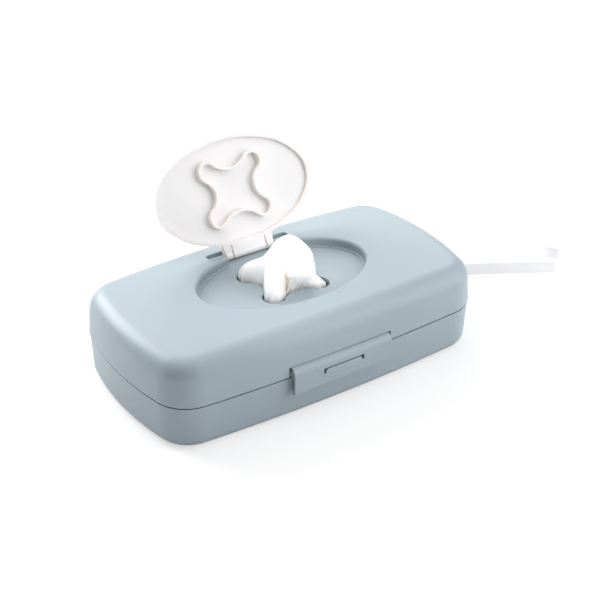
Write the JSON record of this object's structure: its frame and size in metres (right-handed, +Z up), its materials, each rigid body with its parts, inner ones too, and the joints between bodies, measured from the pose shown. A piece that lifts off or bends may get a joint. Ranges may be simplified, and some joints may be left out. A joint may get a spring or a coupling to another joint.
{
  "type": "wet wipes box",
  "caption": "Portable wipes box with a hinged cover, an oval flip lid over a star-shaped slot, a front latch, a wrist strap and a wipe pulled up through the slot.",
  "frame": {"origin": "centre of the base, on the surface that the box stands on", "axes": "+X along the box towards the strap's end, -Y towards the latch, +Z up"},
  "size_m": [0.2804, 0.1185, 0.1056],
  "materials": {
    "case": "satin",
    "lid": "satin",
    "latch": "satin",
    "strap": "translucent satin",
    "pins": "satin",
    "wipes": "matte"
  },
  "bodies": {
    "tray": {"bottom_shell": "case", "wipe_stack": "wipes", "rear_hinge_pins": "pins", "strap_pin": "pins"},
    "cover": {"top_shell": "case", "lid_hinge_rod": "case", "latch_pin": "pins", "popped_wipe": "wipes"},
    "lid": {"flip_lid": "lid", "slot_seal": "lid"},
    "latch": {"front_latch": "latch"},
    "strap": {"carry_strap": "strap"}
  },
  "joints": [
    {"name": "shell_open", "type": "hinge", "parent": "tray", "child": "cover", "pos_m": [0, 0.0566, 0.025], "axis": [-1, 0, 0], "range_deg": [0, 100]},
    {"name": "lid_flip", "type": "hinge", "parent": "cover", "child": "lid", "pos_m": [0, 0.0335, 0.0484], "axis": [1, 0, 0], "range_deg": [0, 115.8], "deforming": ["popped_wipe"]},
    {"name": "latch_lift", "type": "hinge", "parent": "cover", "child": "latch", "pos_m": [0, -0.0522, 0.0264], "axis": [-1, 0, 0], "range_deg": [0, 30]},
    {"name": "strap_swing", "type": "hinge", "parent": "tray", "child": "strap", "pos_m": [0.1046, 0.005, 0.0174], "axis": [0, 0, 1], "range_deg": [-50, 100]}
  ]
}
